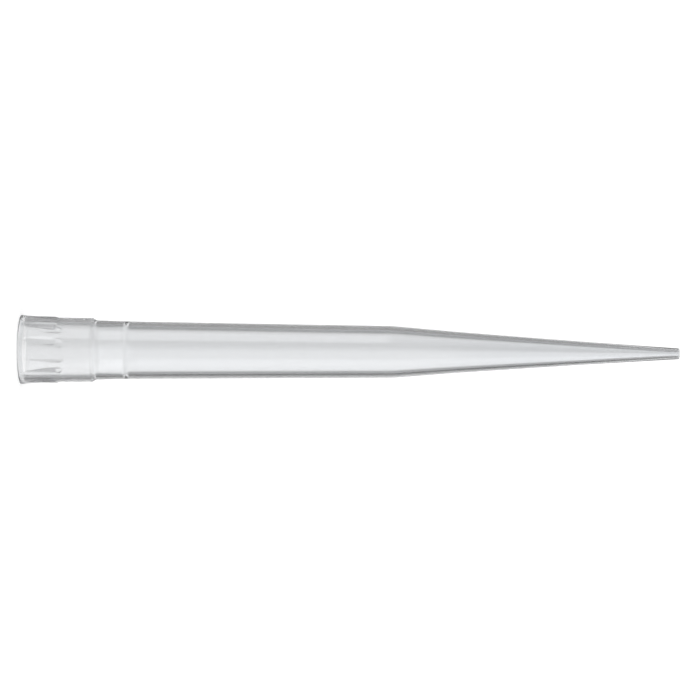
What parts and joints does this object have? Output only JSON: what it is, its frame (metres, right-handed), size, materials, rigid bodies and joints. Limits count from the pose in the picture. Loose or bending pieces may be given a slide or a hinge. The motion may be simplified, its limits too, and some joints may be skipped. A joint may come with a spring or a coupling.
{
  "type": "pipette tip",
  "caption": "Long pipette tip: a ribbed collar with a socket for the pipette's nose, a slim tapered barrel and a fine taper down to a small hole.",
  "frame": {"origin": "centre of the rim of the mouth, on the face that the tip stands on", "axes": "+Z along the tip's axis, from the mouth to the fine end; +X between two ribs of the collar"},
  "size_m": [0.0088, 0.0088, 0.084],
  "materials": {
    "polypropylene": "translucent natural, smooth moulded"
  },
  "bodies": {
    "root": {"tip_body": "polypropylene"}
  },
  "joints": []
}
